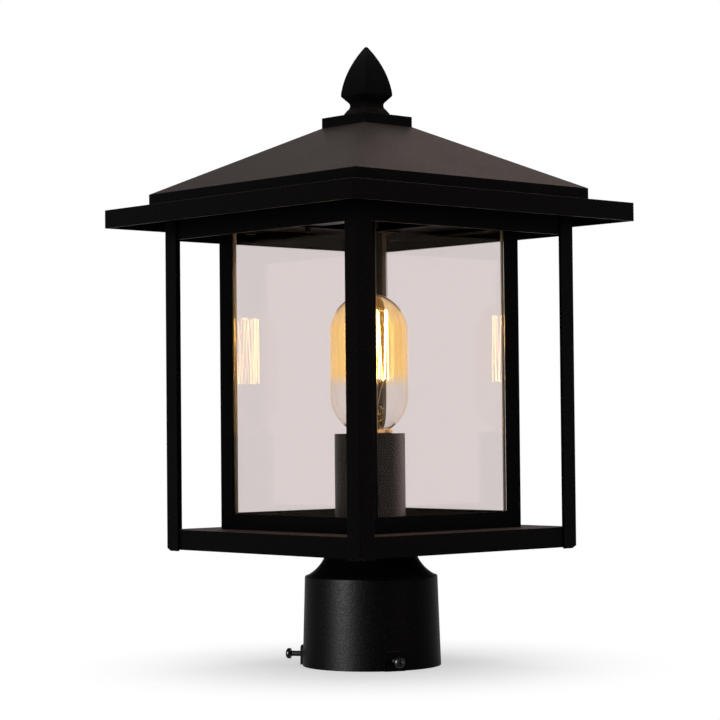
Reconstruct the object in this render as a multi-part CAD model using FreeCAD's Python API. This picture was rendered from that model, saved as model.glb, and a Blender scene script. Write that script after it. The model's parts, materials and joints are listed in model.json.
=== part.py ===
# Post top lantern for an outdoor lamp post.
# A square hip-roofed lantern: four angle posts between a folded tray and a folded
# top frame, a smaller glazed cage round one lamp, a lift-off roof held by a finial
# nut, and a cast collar that drops over a round post and is locked by three screws.
# The origin is at the centre of the collar's lower edge, +Z is up, -Y is the front.
import FreeCAD, Part
import math
import os

V = FreeCAD.Vector

# ---------------------------------------------------------------- driving sizes, mm
# Sheet metal and fits
sheet = 1.2                   # posts, tray, top frame and roof
cage_sheet = 1.0              # glazed cage posts and rails
bend_radius = 0.9             # outside of a folded edge
soft_edge = 0.35              # broken edges of sheet and castings
thread_slack = 0.06           # radial, screw thread in its hole
hole_slack = 0.5              # radial, clearance hole round a screw or rod

# Post collar
post_diameter = 76.2
post_slack = 0.5              # radial
collar_foot_radius = 42.5
collar_crown_radius = 40.8
collar_height = 55.0          # foot to shoulder
collar_edge_radius = 1.2
bore_depth = 49.0
post_stop = 4.5               # ledge in the bore that rests on the post
flare_radius = 24.0
flare_height = 21.3
hollow_rise = 0.7             # share of the flare's height where the hollow is narrowest
neck_radius = 26.4
neck_wall = 3.5
neck_roof = 4.0
neck_height = 81.65           # foot to the face under the gasket
gasket_thickness = 0.8
gasket_radius = 25.0

# Locking screws and their bosses
screw_count = 3
first_screw_angle = -24.0     # degrees from +X
screw_height = 6.2
screw_radius = 1.75
screw_head_radius = 3.25
screw_head_height = 3.2
screw_stand_off = 7.5         # under the head to the boss, backed out
screw_recess = 0.4            # tip behind the bore wall, backed out
boss_width = 12.6
boss_height = 11.8
boss_relief = 1.2
boss_corner = 3.0             # upper corners
slot_width = 0.9
slot_depth = 1.2
head_crown = 0.45             # domed share of a screw head's height
crown_knee = (0.93, 0.35)     # middle of the dome, shares of head radius and crown
crown_flat = 0.72             # flat share of a screw head's radius
tip_chamfer = 0.3             # share of the shank radius
nut_chamfer = 0.6             # share of a nut's corner beyond its flats

# Outer frame
frame_half = 89.3
post_leg = 11.1
post_drop = 0.8               # post foot below the tray skirt
post_corner_cut = 2.0
tray_skirt = 12.3
lamp_room_height = 189.15     # tray top to ceiling
frame_band = 11.6
ceiling_margin = 13.0         # outer face of the cage to the ceiling's opening

# Glazed cage
cage_gap = 23.8               # outer face of a frame post to that of a cage post
cage_leg = 11.7
rail_height = 9.8
rail_inner_height = 4.0
glass_thickness = 2.5
glass_slack = 0.3
bevel_sight = 1.6             # bevel showing beside a cage leg
bevel_drop = 1.0
clip_width = 8.0
clip_drop = 6.0
clip_foot = 5.0
clip_thickness = 0.8
clip_offset = 43.0

# Roof
brim_overhang = 26.6          # past the frame
brim_lip = 11.3
brim_lift = 7.9               # brim top above the frame top
brim_lap = 5.1                # outer face of the frame to the brim's inner flange
brim_ledge = 19.7             # brim lip to cap skirt
cap_skirt = 9.3
cap_rise = 39.5
plinth_half = 19.8
plinth_height = 6.35

# Finial, its stud and the cross bar
finial_height = 43.95
finial_foot_half = 9.9
finial_foot_height = 2.35
finial_neck_half = 7.35
finial_neck_height = 7.2
finial_widest_half = 11.25
finial_widest_height = 14.0
finial_band = 1.6
finial_tip_half = 0.75
finial_tip_round = 0.4
finial_foot_step = (1.4, 2.25)        # in and up from the foot's upright side
finial_neck_step = (0.4, 1.7)         # out and up from the narrowest place
finial_bow = (0.63, 0.58)             # middle of the upper curve, shares of width and rise
finial_bore_depth = 15.0
stud_radius = 3.175
stud_spare = 2.0              # thread under the lower nut
stud_gap = 1.0                # over the stud in the finial
stud_chamfer = 0.25           # share of the stud's radius
stud_nut_flats = 11.1
stud_nut_height = 5.5
bar_width = 16.0
bar_thickness = 2.0
bar_lap = 7.0
bar_screw_radius = 2.0
bar_screw_head_radius = 3.6
bar_screw_head_height = 2.2
bar_screw_length = 6.0

# Lamp holder
nipple_radius = 5.1
nipple_bore_radius = 3.3
nipple_foot = 5.5             # thread showing under the lower nut
nipple_spare = 1.5            # thread over the upper nut
nipple_nut_flats = 15.9
nipple_nut_height = 3.6
washer_radius = 9.5
washer_thickness = 1.0
bracket_length = 34.0
bracket_width = 14.0
bracket_thickness = 1.5
bracket_screw_radius = 1.5
bracket_screw_head_radius = 2.8
bracket_screw_head_height = 1.8
bracket_screw_length = 7.0
bracket_screw_reach = 13.0
holder_radius = 18.4
holder_height = 51.0
holder_recess_radius = 9.8
holder_recess_depth = 8.0
holder_floor = 16.85
holder_wire_radius = 2.0
screw_hole_spare = 0.5        # past a bracket screw's tip
sleeve_radius = 21.4
sleeve_wall = 1.5
sleeve_height = 58.1
shell_wall = 0.6
shell_height = 24.0
contact_radius = 5.0
contact_thickness = 1.0
contact_crown = 1.6
contact_shape = (0.8, 0.5)    # foot and top of the raised middle, shares of its radius
earth_screw_reach = 18.0
earth_screw_radius = 2.0
earth_screw_head_radius = 3.8
earth_screw_head_height = 2.0
earth_screw_length = 3.2

# Lamp
lamp_radius = 23.85
lamp_body_height = 39.3       # straight part of the glass
lamp_shoulder = 24.0          # height of the lower curve
lamp_neck_radius = 12.4
glass_wall = 0.8
base_radius = 13.1
base_wall = 0.45
base_height = 28.0
base_rim_radius = 13.8
base_rim_height = 2.0
base_rim_step = 1.0           # slope under the rim
glass_seat = 3.0              # glass inside the base, under the rim
insulator_radius = 10.5
insulator_height = 4.0
insulator_foot = 0.8          # past the tip contact
insulator_cone = 1.0          # of its height that slopes in to the base
insulator_plug = 1.5          # inside the base
tip_radius = 4.6
tip_height = 1.4
tip_shape = 0.6               # flat share of the radius, sloped share of the height
lamp_above_base = 20.8        # base rim to the straight part of the glass
stem_radius = 4.0
stem_height = 27.0
stem_flange = 1.0
stem_flare_middle = (2.3, 0.263)      # past the stem's side, share of the height
stem_flare_top = 0.55                 # share of the height
stem_neck = (0.8, 2.0)                # share of the radius, below the top
rod_radius = 1.1
filament_radius = 11.4
filament_height = 42.0
filament_base_gap = 31.0      # base rim to the lower hooks
filament_wire_radius = 0.3
filament_strands = 16         # even, so that both ends are at the foot
support_wire_radius = 0.25
hub_radius = 2.2
hub_height = 2.4
lead_wire_radius = 0.35
wire_touch = 0.05             # left between wires that touch

# ---------------------------------------------------------------- derived places
bore_radius = post_diameter / 2 + post_slack
tray_under = neck_height + gasket_thickness
tray_top = tray_under + sheet
tray_half = frame_half - sheet
tray_bottom = tray_top - tray_skirt
ceiling = tray_top + lamp_room_height
frame_top = ceiling + sheet
cage_half = frame_half - cage_gap
cage_inner = cage_half - cage_sheet
leg_end = cage_half - cage_leg
opening_half = cage_half - ceiling_margin
brim_half = frame_half + brim_overhang
brim_opening_half = frame_half - brim_lap
cap_half = brim_half - brim_ledge
brim_top = frame_top + brim_lift
eave = brim_top + cap_skirt
cap_top = eave + cap_rise
plinth_top = cap_top + plinth_height
bar_top = frame_top + bar_thickness
bar_half = opening_half + bar_lap
nut_over_tray = tray_top + nipple_nut_height
bracket_top = nut_over_tray + bracket_thickness
nipple_top = bracket_top + nipple_nut_height + nipple_spare
lower_nut_top = neck_height - neck_roof - washer_thickness
nipple_bottom = lower_nut_top - nipple_nut_height - nipple_foot
holder_top = bracket_top + holder_height
holder_deck = bracket_top + holder_recess_depth + holder_floor
shell_inner = base_radius + thread_slack
contact_top = holder_deck + contact_thickness + contact_crown
base_bottom = contact_top + tip_height + insulator_height
base_top = contact_top + base_height
glass_foot = base_top - base_rim_height - glass_seat
lamp_low = base_top + lamp_above_base
lamp_high = lamp_low + lamp_body_height
filament_low = base_top + filament_base_gap
filament_high = filament_low + filament_height
hub_top = filament_high + hub_height / 2


# ---------------------------------------------------------------- shape helpers
def block(x0, y0, z0, x1, y1, z1):
    """A box between two opposite corners."""
    return Part.makeBox(x1 - x0, y1 - y0, z1 - z0, V(x0, y0, z0))


def square_block(half, z0, z1):
    """A square prism centred on the axis."""
    return block(-half, -half, z0, half, half, z1)


def disc(radius, z0, z1):
    """A cylinder on the axis."""
    return Part.makeCylinder(radius, z1 - z0, V(0, 0, z0))


def tube(outer, inner, z0, z1):
    """A hollow cylinder on the axis."""
    return disc(outer, z0, z1).cut(disc(inner, z0, z1))


def square_frustum(half0, z0, half1, z1):
    """A square pyramid with its top cut off."""
    wires = []
    for half, z in ((half0, z0), (half1, z1)):
        corners = [V(-half, -half, z), V(half, -half, z), V(half, half, z), V(-half, half, z)]
        wires.append(Part.makePolygon(corners + corners[:1]))
    return Part.makeLoft(wires, True, True)


def outline(start, *steps):
    """A closed wire in the XZ plane: a step is an end point, or an arc's middle and end."""
    edges = []
    here = V(start[0], 0, start[1])
    for step in steps + (start,):
        if isinstance(step[0], tuple):
            middle = V(step[0][0], 0, step[0][1])
            there = V(step[1][0], 0, step[1][1])
            edges.append(Part.Arc(here, middle, there).toShape())
        else:
            there = V(step[0], 0, step[1])
            if here.distanceToPoint(there) > 1e-6:
                edges.append(Part.LineSegment(here, there).toShape())
        here = there
    return Part.Wire(edges)


def turned(start, *steps):
    """A solid of revolution about the axis from an outline."""
    face = Part.Face(outline(start, *steps))
    return face.revolve(V(0, 0, 0), V(0, 0, 1), 360)


def arc_middle(centre, radius, angle):
    """A point on a circle, the angle in degrees from +r towards +z."""
    turn = math.radians(angle)
    return (centre[0] + radius * math.cos(turn), centre[1] + radius * math.sin(turn))


def hexagon(flats, z0, z1):
    """A hexagonal prism on the axis with lightly turned corners."""
    corner = flats / math.sqrt(3)
    points = [V(corner * math.cos(math.radians(60 * i)), corner * math.sin(math.radians(60 * i)), z0)
              for i in range(7)]
    prism = Part.Face(Part.makePolygon(points)).extrude(V(0, 0, z1 - z0))
    crown = (corner - flats / 2) * nut_chamfer
    cone = turned((0, z0), (corner - crown, z0), (corner, z0 + crown), (corner, z1 - crown),
                  (corner - crown, z1), (0, z1))
    return prism.common(cone)


def nut(flats, bore, z0, z1):
    """A hexagonal nut on the axis."""
    return hexagon(flats, z0, z1).cut(disc(bore, z0, z1))


def rounded(shape, radius, wanted):
    """The shape with a fillet on each edge that the test picks."""
    edges = [edge for edge in shape.Edges if wanted(edge)]
    return shape.makeFillet(radius, edges)


def is_upright(edge):
    """True for an edge that runs along Z."""
    low, high = edge.BoundBox.ZMin, edge.BoundBox.ZMax
    return edge.BoundBox.XLength < 1e-6 and edge.BoundBox.YLength < 1e-6 and high - low > 1e-6


def corner_of(edge, half):
    """True for an upright edge at the corner of a square of this half width."""
    place = edge.CenterOfMass
    on_x = abs(abs(place.x) - half) < 1e-6
    on_y = abs(abs(place.y) - half) < 1e-6
    return is_upright(edge) and on_x and on_y


def rim_of(edge, half, z):
    """True for a level edge on the side of a square of this half width, at height z."""
    place = edge.CenterOfMass
    on_side = abs(max(abs(place.x), abs(place.y)) - half) < 1e-6
    return edge.BoundBox.ZLength < 1e-6 and abs(place.z - z) < 1e-6 and on_side


def turn_z(shape, angle):
    """A copy of the shape, turned about the axis by an angle in degrees."""
    copy = shape.copy()
    copy.rotate(V(0, 0, 0), V(0, 0, 1), angle)
    return copy


def along_x(shape, reach, height):
    """A shape made on the Z axis, laid along +X with its zero at the given reach."""
    copy = shape.copy()
    copy.rotate(V(0, 0, 0), V(0, 1, 0), 90)
    copy.translate(V(reach, 0, height))
    return copy


def rod_between(start, end, radius):
    """A straight round wire between two points."""
    run = end.sub(start)
    return Part.makeCylinder(radius, run.Length, start, run)


def pan_screw(shank_radius, head_radius, head_height, length):
    """A slotted pan head screw on the Z axis: head seat at zero, shank below."""
    crown = head_height * head_crown
    head = turned((0, 0), (head_radius, 0), (head_radius, head_height - crown),
                  ((head_radius * crown_knee[0], head_height - crown * crown_knee[1]),
                   (head_radius * crown_flat, head_height)),
                  (0, head_height))
    slot_reach = head_radius + slot_width
    slot = block(-slot_reach, -slot_width / 2, head_height - min(slot_depth, head_height / 2),
                 slot_reach, slot_width / 2, head_height + slot_width)
    tip_cut = shank_radius * tip_chamfer
    shank = turned((0, -length), (shank_radius - tip_cut, -length), (shank_radius, -length + tip_cut),
                   (shank_radius, 0), (0, 0))
    return head.cut(slot).fuse(shank).removeSplitter()


# ---------------------------------------------------------------- collar and screws
def is_boss_corner(edge):
    """Whether an edge runs outwards along the top of a screw boss."""
    box = edge.BoundBox
    return box.ZMin > boss_height / 2 and box.XLength > box.YLength


def post_collar():
    """The cast collar: post socket, shoulder, flare and neck, with three screw bosses."""
    flare_centre = (neck_radius + flare_radius, collar_height + flare_height)
    flare_start = flare_centre[0] - math.sqrt(flare_radius ** 2 - flare_height ** 2)
    half_angle = math.degrees(math.asin(flare_height / flare_radius)) / 2
    flare_middle = arc_middle(flare_centre, flare_radius, 180 + half_angle)
    edge = collar_edge_radius
    edge_middle = arc_middle((collar_crown_radius - edge, collar_height - edge), edge, 45)
    body = turned((0, 0), (collar_foot_radius, 0), (collar_crown_radius, collar_height - edge),
                  (edge_middle, (collar_crown_radius - edge, collar_height)),
                  (flare_start, collar_height), (flare_middle, (neck_radius, flare_centre[1])),
                  (neck_radius, neck_height), (0, neck_height))
    boss_face = collar_foot_radius + boss_relief
    boss = block(bore_radius, -boss_width / 2, 0, boss_face, boss_width / 2, boss_height)
    boss = rounded(boss, boss_corner, is_boss_corner)
    for i in range(screw_count):
        body = body.fuse(turn_z(boss, first_screw_angle + i * 360 / screw_count))
    inner_neck = neck_radius - neck_wall
    cavity = turned((0, 0), (bore_radius, 0), (bore_radius, bore_depth),
                    (bore_radius - post_stop, bore_depth),
                    (inner_neck, collar_height + flare_height * hollow_rise),
                    (inner_neck, neck_height - neck_roof), (0, neck_height - neck_roof))
    body = body.cut(cavity).cut(disc(nipple_radius + hole_slack, 0, neck_height))
    earth = Part.makeCylinder(earth_screw_radius + thread_slack, neck_roof, earth_place())
    body = body.cut(earth)
    for i in range(screw_count):
        hole = along_x(Part.makeCylinder(screw_radius + thread_slack, boss_face), 0, screw_height)
        body = body.cut(turn_z(hole, first_screw_angle + i * 360 / screw_count))
    return body.removeSplitter()


def locking_screw(index):
    """One locking screw, backed out as it stands before the post is gripped."""
    seat = collar_foot_radius + boss_relief + screw_stand_off
    length = seat - bore_radius - screw_recess
    screw = pan_screw(screw_radius, screw_head_radius, screw_head_height, length)
    screw = along_x(screw, seat, screw_height)
    return turn_z(screw, first_screw_angle + index * 360 / screw_count)


def neck_gasket():
    """The flat ring between the collar's neck and the tray."""
    return tube(gasket_radius, nipple_radius + hole_slack, neck_height, tray_under)


def earth_place():
    """Where the earth screw's shank starts, in the roof of the neck."""
    return V(-earth_screw_reach, 0, neck_height - neck_roof)


def earth_screw():
    """The earth screw, with its head hanging under the roof of the neck."""
    screw = pan_screw(earth_screw_radius, earth_screw_head_radius, earth_screw_head_height,
                      earth_screw_length)
    screw.rotate(V(0, 0, 0), V(1, 0, 0), 180)
    screw.translate(earth_place())
    return screw


# ---------------------------------------------------------------- outer frame
def angle_profile(half, leg, thickness, z0, z1):
    """An L-section post at the corner (-half, -half), legs along +X and +Y."""
    outer = block(-half, -half, z0, -half + leg, -half + leg, z1)
    inner = block(-half + thickness, -half + thickness, z0, -half + leg, -half + leg, z1)
    post = outer.cut(inner)
    post = rounded(post, bend_radius, lambda edge: corner_of(edge, half))
    ends = [edge for edge in post.Edges if is_upright(edge) and is_leg_end(edge, half, leg)]
    return post.makeFillet(soft_edge, ends)


def is_leg_end(edge, half, leg):
    """True for the outer upright edge at the free end of an angle's leg."""
    place = edge.CenterOfMass
    reach = -half + leg
    on_x_leg = abs(place.x - reach) < 1e-6 and abs(place.y + half) < 1e-6
    on_y_leg = abs(place.y - reach) < 1e-6 and abs(place.x + half) < 1e-6
    return on_x_leg or on_y_leg


def corner_post():
    """An outer post at (-half, -half), its foot corner cut across the bend."""
    foot = tray_bottom - post_drop
    post = angle_profile(frame_half, post_leg, sheet, foot, frame_top)
    cut = post_corner_cut
    corner = V(-frame_half, -frame_half, foot)
    points = [corner, corner + V(2 * cut, 0, 0), corner + V(0, 2 * cut, 0), corner + V(0, 0, cut)]
    faces = []
    for skip in range(4):
        kept = [points[i] for i in range(4) if i != skip]
        faces.append(Part.Face(Part.makePolygon(kept + kept[:1])))
    wedge = Part.makeSolid(Part.makeShell(faces))
    if wedge.Volume < 0:
        wedge.reverse()
    return post.cut(wedge)


def bottom_tray():
    """The folded tray: a flat floor with a down-turned skirt on four sides."""
    tray = square_block(tray_half, tray_bottom, tray_top)
    tray = tray.cut(square_block(tray_half - sheet, tray_bottom, tray_under))
    tray = tray.cut(disc(nipple_radius + hole_slack, tray_bottom, tray_top))
    tray = rounded(tray, soft_edge, lambda edge: rim_of(edge, tray_half, tray_top))
    return tray


def top_frame():
    """The folded top frame: a band inside the posts and a ceiling with a square opening."""
    frame = square_block(tray_half, frame_top - frame_band, frame_top)
    frame = frame.cut(square_block(tray_half - sheet, frame_top - frame_band, ceiling))
    frame = frame.cut(square_block(opening_half, ceiling, frame_top))
    for side in (-1, 1):
        place = V(side * bar_screw_reach(), 0, ceiling)
        frame = frame.cut(Part.makeCylinder(bar_screw_radius + thread_slack, sheet, place))
    return frame


# ---------------------------------------------------------------- glazed cage
def cage_post():
    """A cage post at (-half, -half), from the tray to the ceiling."""
    return angle_profile(cage_half, cage_leg, cage_sheet, tray_top, ceiling)


def cage_rail():
    """The front rail: a channel on the tray that the pane stands in."""
    pane_back = cage_inner - glass_thickness - glass_slack / 2
    channel_back = pane_back - cage_sheet
    outer = block(-leg_end, -cage_half, tray_top, leg_end, -channel_back, tray_top + rail_height)
    room = block(-leg_end, -cage_inner, tray_top + cage_sheet, leg_end, -pane_back,
                 tray_top + rail_height)
    spare = block(-leg_end, -pane_back, tray_top + rail_inner_height, leg_end, -channel_back,
                  tray_top + rail_height)
    return outer.cut(room).cut(spare)


def pane(half_width):
    """The front pane, with its upright edges bevelled on the outer face."""
    front = -cage_inner
    back = front + glass_thickness
    bevel = half_width - (leg_end - bevel_sight)
    points = [V(-half_width, front + bevel_drop, 0), V(-half_width + bevel, front, 0),
              V(half_width - bevel, front, 0), V(half_width, front + bevel_drop, 0),
              V(half_width, back, 0), V(-half_width, back, 0)]
    face = Part.Face(Part.makePolygon(points + points[:1]))
    face.translate(V(0, 0, tray_top + cage_sheet))
    height = lamp_room_height - cage_sheet - glass_slack
    return face.extrude(V(0, 0, height))


def pane_clips():
    """Small folded tabs under the ceiling, two behind the top edge of each pane."""
    face = cage_inner - glass_thickness
    clips = []
    for side in range(4):
        for place in (-clip_offset, clip_offset):
            tab = block(place - clip_width / 2, -face, ceiling - clip_drop,
                        place + clip_width / 2, -face + clip_foot, ceiling)
            hollow = block(place - clip_width / 2, -face + clip_thickness, ceiling - clip_drop,
                           place + clip_width / 2, -face + clip_foot, ceiling - clip_thickness)
            clips.append(turn_z(tab.cut(hollow), side * 90))
    return Part.makeCompound(clips)


# ---------------------------------------------------------------- roof
def roof_brim():
    """The brim: a flat ring with a down-turned lip and an inner flange on the frame."""
    under = brim_top - sheet
    ring = square_block(brim_half, brim_top - brim_lip, brim_top)
    ring = ring.cut(square_block(brim_half - sheet, brim_top - brim_lip, under))
    flange = square_block(brim_opening_half, frame_top, under)
    ring = ring.fuse(flange).removeSplitter()
    ring = ring.cut(square_block(brim_opening_half - sheet, frame_top, brim_top))
    ring = rounded(ring, bend_radius, lambda edge: corner_of(edge, brim_half))
    top = [edge for edge in ring.Edges if on_level(edge, brim_top) and is_outside(edge, cap_half)]
    return ring.makeFillet(soft_edge, top)


def on_level(edge, z):
    """True for an edge that lies wholly at height z."""
    return abs(edge.BoundBox.ZMin - z) < 1e-5 and abs(edge.BoundBox.ZMax - z) < 1e-5


def is_outside(edge, half):
    """True for an edge whose middle is outside a square of this half width."""
    place = edge.CenterOfMass
    return max(abs(place.x), abs(place.y)) > half


def roof_cap():
    """The hipped cap: an upright skirt on the brim, four slopes and a flat crown."""
    slope = cap_rise / (cap_half - plinth_half)
    drop = sheet * math.sqrt(1 + slope ** 2)
    outer = square_block(cap_half, brim_top, eave)
    outer = outer.fuse(square_frustum(cap_half, eave, plinth_half, cap_top)).removeSplitter()
    inside = cap_half - sheet
    inner_eave = eave + slope * sheet - drop
    inner_top = cap_top - sheet
    inner_crown = inside - (inner_top - inner_eave) / slope
    hollow = square_block(inside, brim_top, inner_eave)
    hollow = hollow.fuse(square_frustum(inside, inner_eave, inner_crown, inner_top)).removeSplitter()
    cap = outer.cut(hollow).cut(disc(stud_radius + hole_slack, inner_top, cap_top))
    return rounded(cap, soft_edge, lambda edge: corner_of(edge, cap_half) or rim_of(edge, cap_half, eave))


def roof_plinth():
    """The square block under the finial, drilled for the stud."""
    plinth = square_block(plinth_half, cap_top, plinth_top)
    plinth = rounded(plinth, soft_edge,
                     lambda edge: corner_of(edge, plinth_half) or rim_of(edge, plinth_half, plinth_top))
    return plinth.cut(disc(stud_radius + hole_slack, cap_top, plinth_top))


def finial_profile():
    """The finial's silhouette as a face in the XZ plane, foot at zero height."""
    foot = finial_foot_half
    neck = finial_neck_half
    wide = finial_widest_half
    shoulder = (foot - finial_foot_step[0], finial_foot_height + finial_foot_step[1])
    flare = (neck + finial_neck_step[0], finial_neck_height + finial_neck_step[1])
    low_band = finial_widest_height - finial_band / 2
    high_band = finial_widest_height + finial_band / 2
    rise = finial_height - finial_widest_height
    bow = (wide * finial_bow[0], finial_widest_height + rise * finial_bow[1])
    tip_low = finial_height - finial_tip_round
    steps = [(foot, 0), (foot, finial_foot_height), shoulder,
             ((neck, finial_neck_height), flare),
             (wide, low_band), (wide, high_band),
             (bow, (finial_tip_half, tip_low)),
             ((0, finial_height), (-finial_tip_half, tip_low)),
             ((-bow[0], bow[1]), (-wide, high_band)),
             (-wide, low_band), (-flare[0], flare[1]),
             ((-neck, finial_neck_height), (-shoulder[0], shoulder[1])),
             (-foot, finial_foot_height), (-foot, 0)]
    return Part.Face(outline(steps[0], *steps[1:]))


def finial():
    """The four-sided pointed finial: two crossed silhouettes meet in mitred corners."""
    reach = 2 * finial_widest_half
    across = finial_profile().extrude(V(0, reach, 0))
    across.translate(V(0, -reach / 2, 0))
    body = across.common(turn_z(across, 90))
    body.translate(V(0, 0, plinth_top))
    return body.cut(disc(stud_radius + thread_slack, plinth_top, plinth_top + finial_bore_depth))


# ---------------------------------------------------------------- cross bar and stud
def bar_screw_reach():
    """How far a bar screw stands from the axis."""
    return opening_half + bar_lap / 2


def cross_bar():
    """The flat bar over the opening, drilled for the stud and two screws."""
    bar = block(-bar_half, -bar_width / 2, frame_top, bar_half, bar_width / 2, bar_top)
    bar = bar.cut(disc(stud_radius + thread_slack, frame_top, bar_top))
    for side in (-1, 1):
        place = V(side * bar_screw_reach(), 0, frame_top)
        bar = bar.cut(Part.makeCylinder(bar_screw_radius + thread_slack, bar_thickness, place))
    return bar


def cross_bar_screws():
    """The two screws that hold the bar to the top frame."""
    screws = []
    for side in (-1, 1):
        screw = pan_screw(bar_screw_radius, bar_screw_head_radius, bar_screw_head_height,
                          bar_screw_length)
        screw.translate(V(side * bar_screw_reach(), 0, bar_top))
        screws.append(screw)
    return Part.makeCompound(screws)


def finial_stud():
    """The threaded stud from under the cross bar up into the finial."""
    low = frame_top - stud_nut_height - stud_spare
    high = plinth_top + finial_bore_depth - stud_gap
    cut = stud_radius * stud_chamfer
    return turned((0, low), (stud_radius - cut, low), (stud_radius, low + cut),
                  (stud_radius, high - cut), (stud_radius - cut, high), (0, high))


def stud_nuts():
    """The two nuts that clamp the stud to the bar, one under it and one on it."""
    under = nut(stud_nut_flats, stud_radius + thread_slack, frame_top - stud_nut_height, frame_top)
    over = nut(stud_nut_flats, stud_radius + thread_slack, bar_top, bar_top + stud_nut_height)
    return Part.makeCompound([under, over])


# ---------------------------------------------------------------- lamp holder
def nipple():
    """The hollow threaded tube that clamps the collar, tray and bracket together."""
    return tube(nipple_radius, nipple_bore_radius, nipple_bottom, nipple_top)


def nipple_nuts():
    """Three nuts on the nipple: in the neck, on the tray and on the bracket."""
    bore = nipple_radius + thread_slack
    places = (lower_nut_top - nipple_nut_height, tray_top, bracket_top)
    nuts = [nut(nipple_nut_flats, bore, z, z + nipple_nut_height) for z in places]
    return Part.makeCompound(nuts)


def nipple_washer():
    """The washer between the lower nut and the roof of the neck."""
    return tube(washer_radius, nipple_radius + hole_slack, lower_nut_top, neck_height - neck_roof)


def socket_bracket():
    """The flat bar that carries the lamp holder on the nipple."""
    half = bracket_length / 2
    bar = block(-half, -bracket_width / 2, nut_over_tray, half, bracket_width / 2, bracket_top)
    bar = bar.common(disc(half, nut_over_tray, bracket_top))
    bar = bar.cut(disc(nipple_radius + hole_slack, nut_over_tray, bracket_top))
    for side in (-1, 1):
        place = V(side * bracket_screw_reach, 0, nut_over_tray)
        bar = bar.cut(Part.makeCylinder(bracket_screw_radius + thread_slack, bracket_thickness, place))
    return bar


def bracket_screws():
    """The two screws that run up through the bracket into the holder."""
    screws = []
    for side in (-1, 1):
        screw = pan_screw(bracket_screw_radius, bracket_screw_head_radius,
                          bracket_screw_head_height, bracket_screw_length)
        screw.rotate(V(0, 0, 0), V(1, 0, 0), 180)
        screw.translate(V(side * bracket_screw_reach, 0, nut_over_tray))
        screws.append(screw)
    return Part.makeCompound(screws)


def holder_body():
    """The moulded insulating body of the lamp holder."""
    body = disc(holder_radius, bracket_top, holder_top)
    body = body.cut(disc(holder_recess_radius, bracket_top, bracket_top + holder_recess_depth))
    body = body.cut(disc(shell_inner + shell_wall, holder_deck, holder_top))
    body = body.cut(disc(holder_wire_radius, bracket_top, holder_deck))
    for side in (-1, 1):
        place = V(side * bracket_screw_reach, 0, bracket_top)
        depth = bracket_screw_length - bracket_thickness + screw_hole_spare
        body = body.cut(Part.makeCylinder(bracket_screw_radius + thread_slack, depth, place))
    return body


def holder_shell():
    """The brass screw shell in the holder."""
    return tube(shell_inner + shell_wall, shell_inner, holder_deck, holder_deck + shell_height)


def holder_contact():
    """The sprung centre contact in the floor of the holder."""
    low = contact_top - contact_crown
    return turned((0, holder_deck), (contact_radius, holder_deck), (contact_radius, low),
                  (contact_radius * contact_shape[0], low), (contact_radius * contact_shape[1], contact_top),
                  (0, contact_top))


def holder_sleeve():
    """The black sleeve that stands on the tray round the holder."""
    sleeve = tube(sleeve_radius, sleeve_radius - sleeve_wall, tray_top, tray_top + sleeve_height)
    rim = tray_top + sleeve_height
    return rounded(sleeve, soft_edge, lambda edge: on_level(edge, rim))


# ---------------------------------------------------------------- lamp
def lamp_outline(inset):
    """Points of the lamp glass on and below its straight part, drawn in by an inset."""
    radius = lamp_radius - inset
    height = lamp_shoulder - inset
    neck = lamp_neck_radius - inset
    join = lamp_low - height * math.sqrt(1 - (neck / radius) ** 2)
    return radius, height, neck, join


def lamp_solid(inset, low):
    """The lamp's form as a solid of revolution, drawn in by an inset."""
    radius, height, neck, join = lamp_outline(inset)
    curve = [V(radius * math.cos(a), 0, lamp_low - height * math.sin(a))
             for a in [math.radians(10 * i) for i in range(1, 6)]]
    curve = [V(radius, 0, lamp_low)] + curve + [V(neck, 0, join)]
    shoulder = Part.BSplineCurve()
    shoulder.interpolate(curve)
    dome_middle = arc_middle((0, lamp_high), radius, 45)
    dome = Part.Arc(V(radius, 0, lamp_high), V(dome_middle[0], 0, dome_middle[1]),
                    V(0, 0, lamp_high + radius)).toShape()
    edges = [Part.LineSegment(V(0, 0, low), V(neck, 0, low)).toShape(),
             Part.LineSegment(V(neck, 0, low), V(neck, 0, join)).toShape(),
             shoulder.toShape(),
             Part.LineSegment(V(radius, 0, lamp_low), V(radius, 0, lamp_high)).toShape(),
             dome,
             Part.LineSegment(V(0, 0, lamp_high + radius), V(0, 0, low)).toShape()]
    wire = Part.Wire(Part.__sortEdges__(edges))
    return Part.Face(wire).revolve(V(0, 0, 0), V(0, 0, 1), 360)


def lamp_glass():
    """The blown glass envelope, its neck inside the lamp base."""
    return lamp_solid(0, glass_foot).cut(lamp_solid(glass_wall, glass_foot))


def lamp_base():
    """The screw base of the lamp with its rolled rim."""
    rim = base_top - base_rim_height
    inner = base_radius - base_wall
    rim_inner = base_rim_radius - base_wall
    return turned((inner, base_bottom), (base_radius, base_bottom), (base_radius, rim - base_rim_step),
                  (base_rim_radius, rim), (base_rim_radius, base_top), (rim_inner, base_top),
                  (rim_inner, rim), (inner, rim - base_rim_step))


def lamp_insulator():
    """The dark glass insulator that closes the foot of the lamp base."""
    low = contact_top + tip_height
    wide = base_radius - base_wall
    high = base_bottom + insulator_plug
    return turned((0, low), (tip_radius + insulator_foot, low),
                  (insulator_radius, base_bottom - insulator_cone),
                  (wide, base_bottom), (wide, high), (0, high))


def lamp_tip():
    """The solder contact at the foot of the lamp."""
    low = contact_top
    return turned((0, low), (tip_radius * tip_shape, low), (tip_radius, low + tip_height * tip_shape),
                  (tip_radius, low + tip_height), (0, low + tip_height))


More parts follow.
